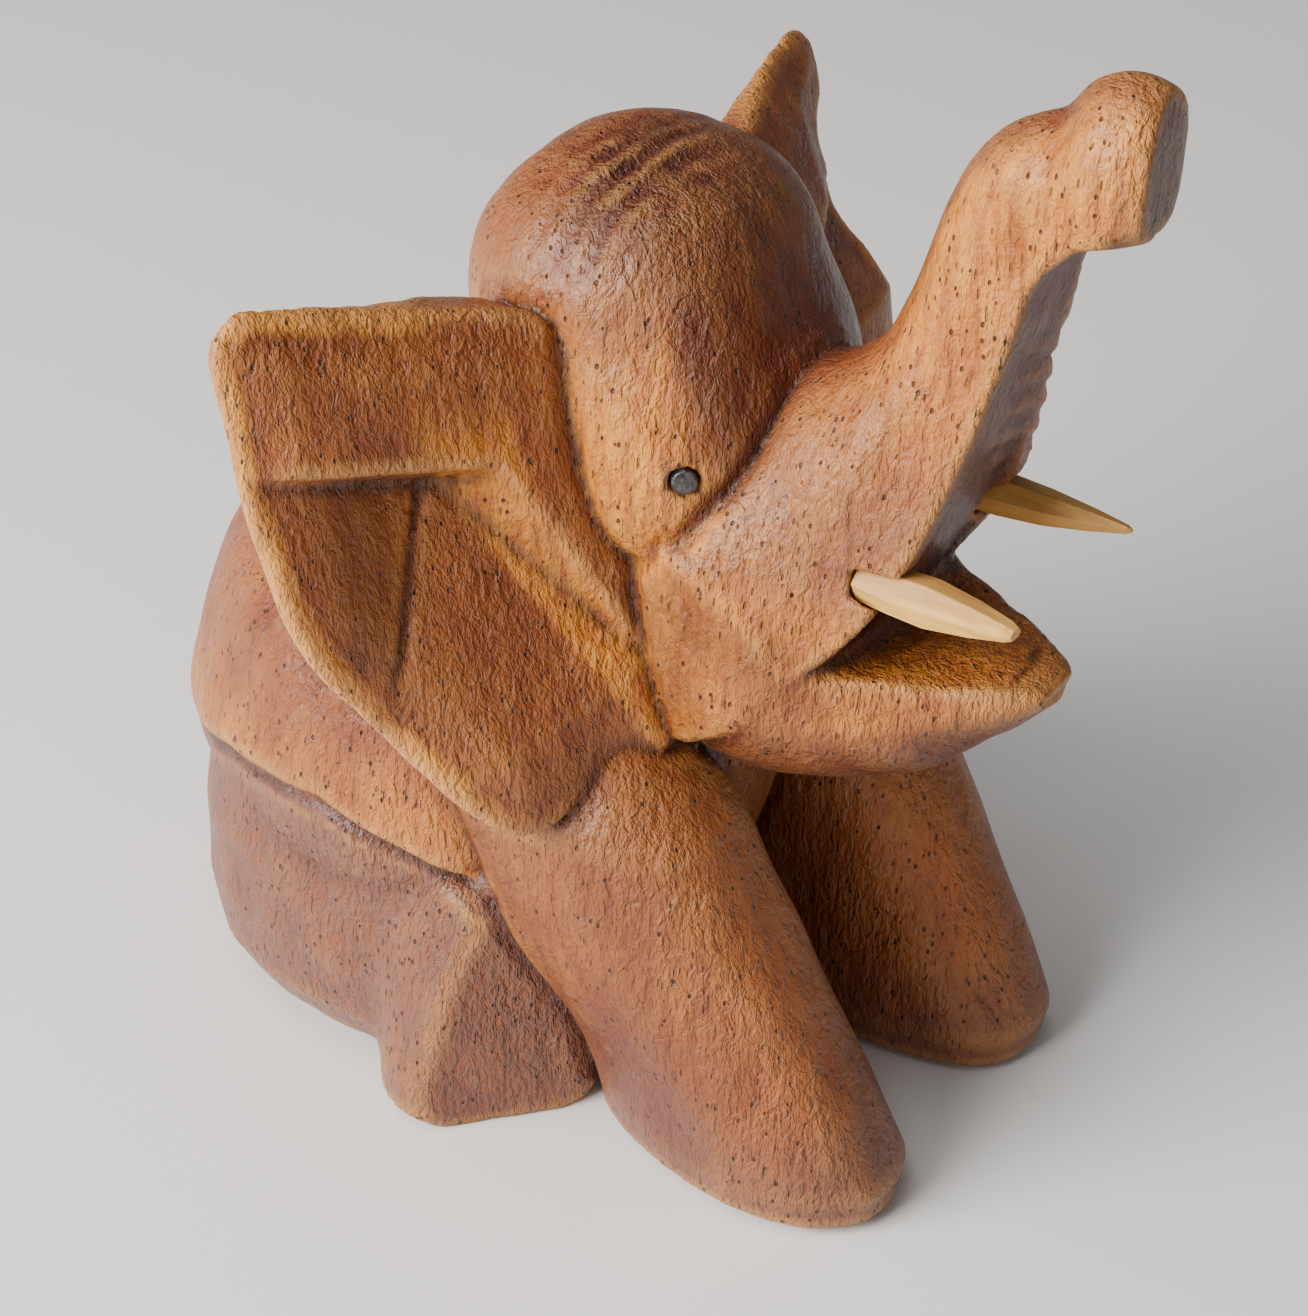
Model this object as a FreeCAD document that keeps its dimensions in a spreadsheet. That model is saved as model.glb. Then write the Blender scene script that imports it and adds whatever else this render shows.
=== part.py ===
"""Carved wooden elephant sitting on its haunches with its trunk raised.

The figure is one block of hardwood, carved all over, with four small pieces let into it:
two whittled pale tusks glued into drilled sockets under the trunk's root, and two dark
round eye pegs glued into drilled holes in the sides of the skull.  Nothing on it moves.

Frame: millimetres and degrees, +Z up.  The elephant faces -Y and its left side is +X.  The
origin is on the surface that the figure sits on, under the middle of its bounding box.

Every number in the tables below becomes a cell of the spreadsheet "dims".  Its alias is the
names above it joined by underscores, such as front_leg_sole_y.  The shapes are bound to
those cells, and a pair on the two sides is one table read twice, with the sign of its side.
"""

import math
import os

import FreeCAD
import Part
import Sketcher
from FreeCAD import Vector

OUT = "parts"
SIDES = {"left": 1, "right": -1}

# Rounded masses: centre, half sizes, and how far the top leans forward.
EGG_KEYS = ("x", "y", "z", "half_width", "half_length", "half_height", "lean")
EGGS = {
    "torso": (0, 18, 28.5, 25, 28, 30, 10),
    "withers": (0, 2, 48, 19, 17, 27, 0),
    "skull": (0, -2, 76, 17.5, 15.5, 16, 0),
    "brow": (0, -5, 68, 15.5, 13.5, 15, 0),
    "haunch": (13, 21.5, 13, 13.5, 19, 17, 0),
    "hock": (17.5, 7.5, 5, 10, 10.5, 15, 0),
}
PAIRED_EGGS = ("haunch", "hock")

# Limbs of oval sections, from the body outwards: centre, half width along X, half depth
# across it, which is never the smaller, and how far the section's normal leans forward.
OVAL_KEYS = ("x", "y", "z", "half_width", "half_depth", "lean")
OVAL_LIMBS = {
    "front_leg": {
        "shoulder": (14, 2, 46, 8, 9.5, 0),
        "elbow": (15, -3.5, 36, 9.5, 14, 0),
        "shin": (14, -10, 22, 9, 15, 0),
        "wrist": (13.5, -15.5, 11, 8.8, 15.5, 0),
        "foot": (13, -18.5, 4, 8.6, 16, 0),
        "sole": (13, -18.5, 0, 6.5, 14.5, 0),
    },
    "tail": {
        "root": (0, 33, 50, 3, 3, 0),
        "bend": (0, 40.5, 40, 2.5, 2.5, 0),
        "middle": (0, 43.7, 28, 2, 2, 0),
        "tuft": (0, 43.2, 17, 2.2, 2.6, 0),
        "end": (0, 42.5, 9, 1.2, 1.2, 0),
    },
}

# Limbs of sections that are flat on one side and arched on the other, from the head
# outwards: middle of the section, width, depth, and how far its normal leans up from
# straight ahead.
ARCHED_KEYS = ("y", "z", "width", "depth", "lean")
ARCHED_LIMBS = {
    "trunk": {
        "root": (-8, 57, 24, 20, 20),
        "lip": (-19.5, 63, 24, 18, 29),
        "bridge": (-27, 75, 16.5, 11.5, 52),
        "shaft": (-30.2, 82, 10.5, 9.8, 76),
        "crook": (-33, 91.2, 9.8, 9.6, 76),
        "neck": (-37.3, 96.8, 9.8, 9, 36),
        "bell": (-41.6, 100.1, 11, 11.2, 8),
        "tip": (-45.6, 99.5, 8.5, 8, 5),
    },
    "jaw": {
        "root": (-8, 44, 24, 22, 0),
        "throat": (-20, 43.5, 22, 18, 0),
        "chin": (-30, 46.7, 16.5, 8.8, 0),
        "tip": (-39, 50, 7.5, 4.4, 0),
    },
}
# The trunk is arched on top and the jaw underneath.
ARCH_SIDE = {"trunk": 1, "jaw": -1}
# The share of a section's depth that the arch takes up, beyond its straight sides.
ARCH_SHARE = 0.45

# An ear is a plate drawn on a leaning plane: u points outwards and v up from its crown.
EAR = {
    "x": 19,
    "y": 3.3,
    "z": 82,
    "turn": 23,
    "lean": 14.5,
    "thickness": 3.5,
    "hollow_depth": 1.5,
    "rim_radius": 49,
    "tip_radius": 4,
}
EAR_OUTLINE = {
    "jowl": (-14.9, -39),
    "point": (3.3, -45.1),
    "rim": (22.3, -1.5),
    "tip": (18.8, 2.6),
    "crown": (-5, -2),
}
HOLLOW_OUTLINE = {
    "jowl": (-8.5, -39.5),
    "point": (2.5, -42.5),
    "lobe": (11, -33),
    "rim": (18.5, -11),
    "peak": (5.3, -12.8),
}

# A tusk is whittled to six flats along its own axis, from the shoulder that it seats on,
# with a round tenon behind that.
TUSK = {
    "x": 8.6,
    "y": -26.6,
    "z": 61.6,
    "splay": 3,
    "tenon_radius": 1.2,
    "tenon_length": 5,
    "seat_depth": 4,
}
TUSK_KEYS = ("along", "radius")
TUSK_SECTIONS = {
    "shoulder": (0, 2.1),
    "belly": (6, 2.1),
    "waist": (11, 1.6),
    "tip": (14.5, 0.6),
}
TUSK_FLATS = 6

# An eye peg stands on the brow, at two angles of that egg: round from straight ahead, and
# up from its middle.  Aim is the way that its hole is drilled, round from straight ahead.
EYE = {
    "turn": 57,
    "rise": 0,
    "aim": 53,
    "radius": 1.1,
    "depth": 3.5,
    "proud": 0.3,
    "dome": 0.3,
}
GLUE_GAP = 0.05
# A higher degree lets the surface of a loft swing out between its sections.
LOFT_DEGREE = 3
FLOOR_CUT = {"size": 120, "depth": 40}


def sheet_rows():
    """Every number of the tables, with the alias of its cell."""
    rows = []
    for name, values in EGGS.items():
        rows += [(f"{name}_{key}", value) for key, value in zip(EGG_KEYS, values)]
    section_tables = (
        (OVAL_LIMBS, OVAL_KEYS),
        (ARCHED_LIMBS, ARCHED_KEYS),
        ({"tusk": TUSK_SECTIONS}, TUSK_KEYS),
        ({"ear": EAR_OUTLINE, "hollow": HOLLOW_OUTLINE}, ("u", "v")),
    )
    for table, keys in section_tables:
        for name, parts in table.items():
            for part, values in parts.items():
                rows += [(f"{name}_{part}_{key}", v) for key, v in zip(keys, values)]
    for name, table in (("ear", EAR), ("tusk", TUSK), ("eye", EYE), ("floor_cut", FLOOR_CUT)):
        rows += [(f"{name}_{key}", value) for key, value in table.items()]
    rows += [("arch_share", ARCH_SHARE), ("glue_gap", GLUE_GAP)]
    return rows


def fill_sheet(doc):
    """The spreadsheet of driving dimensions: a name, a plain number and its alias a row."""
    sheet = doc.addObject("Spreadsheet::Sheet", "dims")
    for number, (alias, value) in enumerate(sheet_rows(), start=1):
        sheet.set(f"A{number}", alias.replace("_", " "))
        sheet.set(f"B{number}", str(value))
        sheet.setAlias(f"B{number}", alias)
    doc.recompute()


def cells(expression):
    """Turns [name] in an expression into the sheet's cell of that name."""
    return expression.replace("[", "dims.").replace("]", "")


def bind(obj, **expressions):
    for path, expression in expressions.items():
        obj.setExpression(path, cells(expression))


def place(obj, x="0", y="0", z="0", turn="rotationx(0)"):
    """Binds a whole placement: three lengths and a rotation, as expressions."""
    bind(obj, Placement=f"placement(vector({x}; {y}; {z}); {turn})")


def measure(sketch, expression):
    return float(sketch.evalExpression(cells(expression)))


def egg(doc, name, side=1):
    """An ellipsoid from the EGGS table."""
    label = name if name not in PAIRED_EGGS else f"{name}_{side_name(side)}"
    solid = doc.addObject("Part::Ellipsoid", label)
    bind(solid, Radius1=f"[{name}_half_height]")
    bind(solid, Radius2=f"[{name}_half_width]")
    bind(solid, Radius3=f"[{name}_half_length]")
    lean = f"rotationx([{name}_lean])"
    place(solid, f"{side} * [{name}_x]", f"[{name}_y]", f"[{name}_z]", lean)
    return solid


def side_name(side):
    return next(name for name, sign in SIDES.items() if sign == side)


def loft(doc, label, sections, ruled=False):
    solid = doc.addObject("Part::Loft", label)
    solid.Sections = sections
    solid.Solid = True
    solid.Ruled = ruled
    solid.MaxDegree = LOFT_DEGREE
    return solid


def oval_limb(doc, limb, label, side=1):
    """A loft through level ellipses, whose longer axis runs across X."""
    sections = []
    for section in OVAL_LIMBS[limb]:
        cell = f"{limb}_{section}"
        oval = doc.addObject("Part::Ellipse", f"{label}_{section}")
        bind(oval, MajorRadius=f"[{cell}_half_depth]", MinorRadius=f"[{cell}_half_width]")
        turn = f"rotationx([{cell}_lean]) * rotationz(90)"
        place(oval, f"{side} * [{cell}_x]", f"[{cell}_y]", f"[{cell}_z]", turn)
        sections.append(oval)
    return loft(doc, label, sections)


def bowed_arc(start, end, middle, radius):
    """An arc of less than a half turn from start to end that bows away from the middle."""
    chord = end - start
    halfway = (start + end) * 0.5
    outward = chord.cross(Vector(0, 0, 1)).normalize()
    if outward.dot(halfway - middle) < 0:
        outward = -outward
    rise = radius - math.sqrt(max(radius**2 - (chord.Length / 2) ** 2, 0))
    top = halfway + outward * rise
    if (top - start).cross(end - top).z < 0:
        return Part.Arc(end, top, start)
    return Part.Arc(start, top, end)


def end_at(sketch, edge, point):
    """Which end of the edge lies at the point: 1 is its start and 2 is its end."""
    return min((1, 2), key=lambda end: sketch.getPoint(edge, end).distanceToPoint(point))


def draw_loop(sketch, corners, arcs=None):
    """Draws a closed loop and ties every corner of it to a pair of expressions.

    The edge that follows a corner is a line, or else an arc whose radius is the expression
    that arcs holds under that corner's number.
    """
    arcs = arcs or {}
    points = [Vector(measure(sketch, u), measure(sketch, v), 0) for u, v in corners]
    middle = sum(points, Vector()) * (1 / len(points))
    for n, start in enumerate(points):
        end = points[(n + 1) % len(points)]
        if n in arcs:
            edge = bowed_arc(start, end, middle, measure(sketch, arcs[n]))
        else:
            edge = Part.LineSegment(start, end)
        sketch.addGeometry(edge, False)
    for n, point in enumerate(points):
        last = (n - 1) % len(points)
        ends = (last, end_at(sketch, last, point), n, end_at(sketch, n, point))
        sketch.addConstraint(Sketcher.Constraint("Coincident", *ends))
        for kind, value, expression in zip(("DistanceX", "DistanceY"), point, corners[n]):
            pin = Sketcher.Constraint(kind, n, end_at(sketch, n, point), value)
            bind_constraint(sketch, pin, expression)
    for n, expression in arcs.items():
        size = Sketcher.Constraint("Radius", n, measure(sketch, expression))
        bind_constraint(sketch, size, expression)


def bind_constraint(sketch, constraint, expression):
    number = sketch.addConstraint(constraint)
    bind(sketch, **{f"Constraints[{number}]": expression})


def arched_limb(doc, limb):
    """A loft through sections with a flat side, two straight edges and an arch."""
    sections = []
    side = ARCH_SIDE[limb]
    for section in ARCHED_LIMBS[limb]:
        cell = f"{limb}_{section}"
        half, flat = f"[{cell}_width] / 2", f"{-side} * [{cell}_depth] / 2"
        rise = f"[arch_share] * [{cell}_depth]"
        spring = f"{side} * ([{cell}_depth] / 2 - {rise})"
        corners = [(f"-{half}", flat), (half, flat), (half, spring), (f"-{half}", spring)]
        radius = f"(({half})^2 + ({rise})^2) / (2 * {rise})"
        sketch = doc.addObject("Sketcher::SketchObject", f"{limb}_{section}")
        draw_loop(sketch, corners, {2: radius})
        place(sketch, "0", f"[{cell}_y]", f"[{cell}_z]", f"rotationx(90 - [{cell}_lean])")
        sections.append(sketch)
    return loft(doc, limb, sections)


def ear_slab(doc, outline, label, side, forward, backward, arcs=None):
    """An outline on the plane of one ear, made solid by two depths from that plane."""
    names = EAR_OUTLINE if outline == "ear" else HOLLOW_OUTLINE
    sketch = doc.addObject("Sketcher::SketchObject", f"{label}_outline")
    corners = [(f"{side} * [{outline}_{n}_u]", f"[{outline}_{n}_v]") for n in names]
    draw_loop(sketch, corners, arcs)
    turn = f"rotationz({side} * [ear_turn]) * rotationx(90 - [ear_lean])"
    place(sketch, f"{side} * [ear_x]", "[ear_y]", "[ear_z]", turn)
    slab = doc.addObject("Part::Extrusion", label)
    slab.Base = sketch
    slab.DirMode = "Normal"
    slab.Solid = True
    bind(slab, LengthFwd=forward, LengthRev=backward)
    return slab


def combine(doc, kind, label, base, tool):
    """A Part::Fuse or Part::Cut of two shapes."""
    result = doc.addObject(kind, label)
    result.Base = base
    result.Tool = tool
    return result


def cylinder(doc, label, radius, height, start):
    """A cylinder along Z from the height that start gives."""
    solid = doc.addObject("Part::Cylinder", label)
    bind(solid, Radius=radius, Height=height)
    place(solid, z=start)
    return solid


def ear(doc, side):
    """One ear: the plate with its front hollowed out."""
    name = side_name(side)
    edges = {1: "[ear_rim_radius]", 2: "[ear_tip_radius]"}
    plate = ear_slab(doc, "ear", f"ear_plate_{name}", side, "0", "[ear_thickness]", edges)
    depth = "[ear_hollow_depth]"
    hollow = ear_slab(doc, "hollow", f"ear_hollow_{name}", side, depth, depth)
    return combine(doc, "Part::Cut", f"ear_{name}", plate, hollow)


def place_tusk(obj, side):
    """Stands a shape that is drawn along Z on the upper lip, as a tusk."""
    turn = f"rotationz({side} * [tusk_splay]) * rotationx(90)"
    place(obj, f"{side} * [tusk_x]", "[tusk_y]", "[tusk_z]", turn)


def tusk(doc, side):
    """A tusk: its whittled part, and its tenon, which ends on the socket's floor."""
    name = f"tusk_{side_name(side)}"
    sections = []
    for section in TUSK_SECTIONS:
        flats = doc.addObject("Part::RegularPolygon", f"{name}_{section}")
        flats.Polygon = TUSK_FLATS
        bind(flats, Circumradius=f"[tusk_{section}_radius]")
        place(flats, z=f"[tusk_{section}_along]")
        sections.append(flats)
    blade = loft(doc, f"{name}_blade", sections, ruled=True)
    length = "[tusk_tenon_length]"
    tenon = cylinder(doc, f"{name}_tenon", "[tusk_tenon_radius]", length, f"-{length}")
    whole = combine(doc, "Part::Fuse", name, blade, tenon)
    place_tusk(whole, side)
    return whole


def tusk_socket(doc, side):
    """What is drilled out for a tusk: a hole for its tenon and a wider seat in front."""
    name = f"tusk_socket_{side_name(side)}"
    length = "[tusk_tenon_length]"
    drill = "[tusk_tenon_radius] + [glue_gap]"
    hole = cylinder(doc, f"{name}_hole", drill, length, f"-{length}")
    width = "[tusk_shoulder_radius] + [glue_gap]"
    seat = cylinder(doc, f"{name}_seat", width, "[tusk_seat_depth]", "0")
    whole = combine(doc, "Part::Fuse", name, hole, seat)
    place_tusk(whole, side)
    return whole


def place_eye(obj, side):
    """Stands a shape that is drawn along Z on the skin of the brow, as an eye."""
    level = "cos([eye_rise])"
    x = f"{side} * [brow_half_width] * sin([eye_turn]) * {level}"
    y = f"[brow_y] - [brow_half_length] * cos([eye_turn]) * {level}"
    z = "[brow_z] + [brow_half_height] * sin([eye_rise])"
    place(obj, x, y, z, f"rotationz({side} * [eye_aim]) * rotationx(90)")


def eye(doc, side):
    """An eye peg: a round pin with a low dome, which ends on its hole's floor."""
    name = f"eye_{side_name(side)}"
    radius, depth = "[eye_radius]", "[eye_depth]"
    pin = cylinder(doc, f"{name}_pin", radius, f"{depth} + [eye_proud]", f"-{depth}")
    dome = doc.addObject("Part::Ellipsoid", f"{name}_dome")
    bind(dome, Radius1="[eye_dome]", Radius2=radius, Radius3=radius)
    place(dome, z="[eye_proud]")
    whole = combine(doc, "Part::Fuse", name, pin, dome)
    place_eye(whole, side)
    return whole


def eye_hole(doc, side):
    """The hole for an eye peg, from its floor to well clear of the skin."""
    name = f"eye_hole_{side_name(side)}"
    radius, depth = "[eye_radius] + [glue_gap]", "[eye_depth]"
    floor = cylinder(doc, f"{name}_floor", radius, depth, f"-{depth}")
    mouth = cylinder(doc, f"{name}_mouth", radius, depth, "0")
    whole = combine(doc, "Part::Fuse", name, floor, mouth)
    place_eye(whole, side)
    return whole


def floor_block(doc):
    """All that lies under the surface that the figure sits on."""
    block = doc.addObject("Part::Box", "floor_block")
    size, depth = "[floor_cut_size]", "[floor_cut_depth]"
    bind(block, Length=size, Width=size, Height=depth)
    place(block, f"-{size} / 2", f"-{size} / 2", f"-{depth}")
    return block


def carved_body(doc):
    """The one block: its masses joined one by one, made flat underneath and drilled."""
    masses = [egg(doc, name) for name in EGGS if name not in PAIRED_EGGS]
    masses += [arched_limb(doc, limb) for limb in ARCHED_LIMBS]
    masses.append(oval_limb(doc, "tail", "tail"))
    tools = [floor_block(doc)]
    for name, side in SIDES.items():
        masses += [egg(doc, mass, side) for mass in PAIRED_EGGS]
        masses.append(oval_limb(doc, "front_leg", f"front_leg_{name}", side))
        masses.append(ear(doc, side))
        tools += [tusk_socket(doc, side), eye_hole(doc, side)]
    body = masses[0]
    for mass in masses[1:]:
        body = combine(doc, "Part::Fuse", f"body_with_{mass.Label}", body, mass)
    for tool in tools:
        body = combine(doc, "Part::Cut", f"body_less_{tool.Label}", body, tool)
    body.Label = "carved_body"
    return body


def check(doc, parts):
    """Stops if any object failed, or if a part is not one valid solid."""
    for obj in doc.Objects:
        if {"Invalid", "Error"} & set(obj.State):
            raise RuntimeError(f"{obj.Label} did not build: {obj.State}")
    for part in parts:
        shape = part.Shape
        if shape.isNull() or not shape.isValid() or len(shape.Solids) != 1:
            raise RuntimeError(f"{part.Label} is not one valid solid")


def main():
    doc = FreeCAD.newDocument("elephant")
    fill_sheet(doc)
    parts = [carved_body(doc)]
    parts += [make(doc, side) for make in (tusk, eye) for side in SIDES.values()]
    doc.recompute()
    check(doc, parts)
    os.makedirs(OUT, exist_ok=True)
    for part in parts:
        part.Shape.exportStep(os.path.join(OUT, f"{part.Label}.step"))
        box = part.Shape.optimalBoundingBox(False, False)
        print(f"{part.Label}: {part.Shape.Volume:.1f} mm3, {box}")


main()
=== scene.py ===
"""Looks of the carved wooden elephant.

The block is one signed distance field in millimetres, in the CAD frame: +Z up, facing -Y,
its left side at +X.  The field is meshed and its points are moved onto its own surface.
Each point then gets weights that the wood's colours follow: creases are darkened as painted
shade, knife edges pale, and the sapwood on the head, the ears and the flank is golden.
Painted shade also darkens the skull's front, the undersides of the trunk and the jaw and the
ears' hollows, and a painted sheen lightens the haunch, the feet, the skull's side and the
trunk's root.
"""

import math

import bpy
import numpy as np
import openvdb
from mathutils import Matrix, Vector


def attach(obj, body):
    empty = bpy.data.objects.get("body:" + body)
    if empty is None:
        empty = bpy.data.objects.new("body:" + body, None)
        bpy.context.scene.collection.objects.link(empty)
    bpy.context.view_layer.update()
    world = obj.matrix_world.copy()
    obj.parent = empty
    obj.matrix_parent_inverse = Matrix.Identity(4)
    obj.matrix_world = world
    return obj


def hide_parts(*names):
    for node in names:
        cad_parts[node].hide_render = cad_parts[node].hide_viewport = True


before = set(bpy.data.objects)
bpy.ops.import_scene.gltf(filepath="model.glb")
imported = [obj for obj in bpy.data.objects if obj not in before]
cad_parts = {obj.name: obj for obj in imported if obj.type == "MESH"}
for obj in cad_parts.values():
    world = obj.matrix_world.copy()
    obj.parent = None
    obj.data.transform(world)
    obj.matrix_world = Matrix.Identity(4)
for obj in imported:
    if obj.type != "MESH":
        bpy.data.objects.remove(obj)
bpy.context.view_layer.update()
MM = 0.001

# The grid that the block is meshed on, in millimetres: its cell and its corners, every how
# many cells it is first tried, how near the surface it is then filled in, where its values
# level off, and how many points are worked out at once.
VOXEL = 0.61
GRID_LOW = (-43.0, -50.0, -1.5)
GRID_HIGH = (43.0, 49.0, 109.5)
COARSE_STEP = 4
LIVE_REACH = 7.5 * VOXEL
BAND = 3 * VOXEL
CELLS_AT_ONCE = 200000


# ---------------------------------------------------------------- field helpers (mm)

def soft_min(a, b, k):
    """The smaller of two distances, with the corner rounded over a width k."""
    h = np.maximum(k - np.abs(a - b), 0) / k
    return np.minimum(a, b) - h * h * k * 0.25


def soft_max(a, b, k):
    return -soft_min(-a, -b, k)


def crease(a, b, depth, width):
    """Joins two solids and cuts a small valley along the line where they meet."""
    valley = depth * np.exp(-((a - b) / width) ** 2)
    return np.minimum(a, b) + valley


def step(low, high, value):
    """Rises smoothly from 0 at low to 1 at high; low may be the larger one."""
    t = np.clip((value - low) / (high - low), 0, 1)
    return t * t * (3 - 2 * t)


def bump(value, centre, width):
    return np.exp(-((value - centre) / width) ** 2)


def past_cut(x, y, z, at, way):
    """How far past a flat cut, along the way that the cut faces."""
    return way[0] * (x - at[0]) + way[1] * (y - at[1]) + way[2] * (z - at[2])


def egg(x, y, z, centre, half, lean, power):
    """A (super)ellipsoid whose top leans forward by lean degrees."""
    px, py, pz = x - centre[0], y - centre[1], z - centre[2]
    if lean:
        c, s = math.cos(math.radians(lean)), math.sin(math.radians(lean))
        py, pz = py * c + pz * s, pz * c - py * s
    a, b, c = np.abs(px) / half[0], np.abs(py) / half[1], np.abs(pz) / half[2]
    if power == 2.0:
        k = np.sqrt(a * a + b * b + c * c) + 1e-6
        g = np.sqrt((a / half[0]) ** 2 + (b / half[1]) ** 2 + (c / half[2]) ** 2) + 1e-6
        return k * (k - 1) / g
    k = (a ** power + b ** power + c ** power) ** (1 / power) + 1e-6
    ga = a ** (power - 1) / half[0]
    gb = b ** (power - 1) / half[1]
    gc = c ** (power - 1) / half[2]
    g = np.sqrt(ga * ga + gb * gb + gc * gc) / k ** (power - 1) + 1e-6
    return (k - 1) / g


def column(x, y, z, rows, power):
    """Level oval sections stacked along Z, with a rounded top."""
    t = np.array(sorted(rows, key=lambda row: row[2]), float)
    cx, cy, hw, hl = (np.interp(z, t[:, 2], t[:, i]) for i in (0, 1, 3, 4))
    a, b = np.abs(x - cx) / hw, np.abs(y - cy) / hl
    k = (a ** power + b ** power) ** (1 / power) + 1e-6
    g = np.sqrt((a ** (power - 1) / hw) ** 2 + (b ** (power - 1) / hl) ** 2)
    side = (k - 1) / (g / k ** (power - 1) + 1e-6)
    return soft_max(side, z - t[-1, 2], 3)


def spread(rows, count):
    """Rows of a limb, evened out along a smooth curve through them."""
    t = np.array(rows, float)
    u = np.linspace(0, len(t) - 1, count)
    i = np.clip(u.astype(int), 0, len(t) - 2)
    f = (u - i)[:, None]
    a, b = t[np.maximum(i - 1, 0)], t[i]
    c, d = t[i + 1], t[np.minimum(i + 2, len(t) - 1)]
    return 0.5 * (2 * b + (c - a) * f + (2 * a - 5 * b + 4 * c - d) * f ** 2
                  + (3 * b - a - 3 * c + d) * f ** 3)


def nearest_row(y, z, middle):
    """Which row of a limb each point is nearest to."""
    flat_y, flat_z = y.ravel(), z.ravel()
    best = np.full(flat_y.shape, 1e9, np.float32)
    pick = np.zeros(flat_y.shape, np.int32)
    for i, (row_y, row_z) in enumerate(middle):
        d = (flat_y - row_y) ** 2 + (flat_z - row_z) ** 2
        near = d < best
        best[near] = d[near]
        pick[near] = i
    return pick.reshape(y.shape)


def carved_limb(x, y, z, rows, arch, sharp):
    """A limb in the middle plane, arched on one side and flat on the other.

    The arch takes up arch half depths, and sharp is the radius of the flat side's edges.
    Gives the distance, and the height over the flat side."""
    t = spread(rows, LIMB_STEPS)
    mid = (t[:, 0:2] + t[:, 2:4]) / 2
    out = t[:, 0:2] - t[:, 2:4]
    deep = np.linalg.norm(out, axis=1)
    out = out / deep[:, None]
    pick = nearest_row(y, z, mid)
    # half a step either way, so that the sections run on smoothly
    ahead = np.minimum(pick + 1, len(t) - 1)
    behind = np.maximum(pick - 1, 0)
    tangent = mid[ahead] - mid[behind]
    length = (tangent ** 2).sum(-1) + 1e-9
    oy, oz = y - mid[pick, 0], z - mid[pick, 1]
    f = np.clip((oy * tangent[..., 0] + oz * tangent[..., 1]) / length, -0.5, 0.5) * 2
    other = np.where(f > 0, ahead, behind)
    f = np.abs(f)

    def at(values):
        return values[pick] * (1 - f) + values[other] * f

    from_y, from_z = y - at(mid[:, 0]), z - at(mid[:, 1])
    along = from_y * at(out[:, 0]) + from_z * at(out[:, 1])
    half, wide = at(deep) / 2, at(t[:, 4])
    rise = arch * half
    ax, above = np.abs(x), along - (half - rise)
    qx, qa = ax - wide + sharp, -along - half + sharp
    straight = (np.minimum(np.maximum(qx, qa), 0)
                + np.sqrt(np.maximum(qx, 0) ** 2 + np.maximum(qa, 0) ** 2) - sharp)
    k = np.sqrt((ax / wide) ** 2 + (above / rise) ** 2) + 1e-6
    g = np.sqrt((ax / wide ** 2) ** 2 + (above / rise ** 2) ** 2) + 1e-6
    d = np.where(above > 0, k * (k - 1) / g, straight)
    # the limb is cut off past its first and last rows only
    past = np.abs(from_z * at(out[:, 0]) - from_y * at(out[:, 1]))
    past = np.where((pick == 0) | (pick == len(t) - 1), past, -5)
    return soft_max(d, past - 0.3, 0.8), along + half


def polygon(u, v, corners):
    """Signed distance to a flat outline, negative inside it."""
    c = np.array(corners, float)
    best = np.full(np.shape(u), 1e9)
    inside = np.zeros(np.shape(u), bool)
    for (au, av), (bu, bv) in zip(c, np.roll(c, -1, axis=0)):
        du, dv = bu - au, bv - av
        t = np.clip(((u - au) * du + (v - av) * dv) / (du * du + dv * dv), 0, 1)
        best = np.minimum(best, (u - au - t * du) ** 2 + (v - av - t * dv) ** 2)
        if dv != 0:
            crosses = (av > v) != (bv > v)
            inside ^= crosses & (u < au + (v - av) * du / dv)
    return np.where(inside, -1, 1) * np.sqrt(best)


def rounded(corners, count=6, share=0.3):
    """The outline with its corners cut by small arcs."""
    c = np.array(corners, float)
    made = []
    for i, b in enumerate(c):
        a, d = c[i - 1], c[(i + 1) % len(c)]
        p, q = b + (a - b) * share, b + (d - b) * share
        for t in np.linspace(0, 1, count):
            made.append((1 - t) ** 2 * p + 2 * t * (1 - t) * b + t * t * q)
    return made


def capsules(x, y, z, points):
    """Round sticks in the middle plane, each tapered from one point to the next."""
    d = np.full(np.shape(x), 1e9)
    for (ay, az, ar), (by, bz, br) in zip(points, points[1:]):
        dy, dz = by - ay, bz - az
        t = np.clip(((y - ay) * dy + (z - az) * dz) / (dy * dy + dz * dz), 0, 1)
        reach = np.sqrt(x * x + (y - ay - t * dy) ** 2 + (z - az - t * dz) ** 2)
        d = np.minimum(d, reach - ar - t * (br - ar))
    return d


def round_hole(x, y, z, centre, way, radius, low, high):
    """A round hole along way, from low to high as measured from centre."""
    px, py, pz = x - centre[0], y - centre[1], z - centre[2]
    s = px * way[0] + py * way[1] + pz * way[2]
    r = np.sqrt(np.maximum(px * px + py * py + pz * pz - s * s, 0))
    return np.maximum(r - radius, np.maximum(low - s, s - high))


def ripple(x, y, z, size, seed):
    """Smooth, irregular waves of about that size, from -1 to 1."""
    total = 0
    random = np.random.default_rng(seed)
    for _ in range(6):
        way = random.normal(size=3)
        way *= 2 * math.pi / size * random.uniform(0.7, 1.4) / np.linalg.norm(way)
        total = total + np.sin(x * way[0] + y * way[1] + z * way[2]
                               + random.uniform(0, 6.28))
    return total / 3.2


# ---------------------------------------------------------------- sizes and places (mm)

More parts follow.
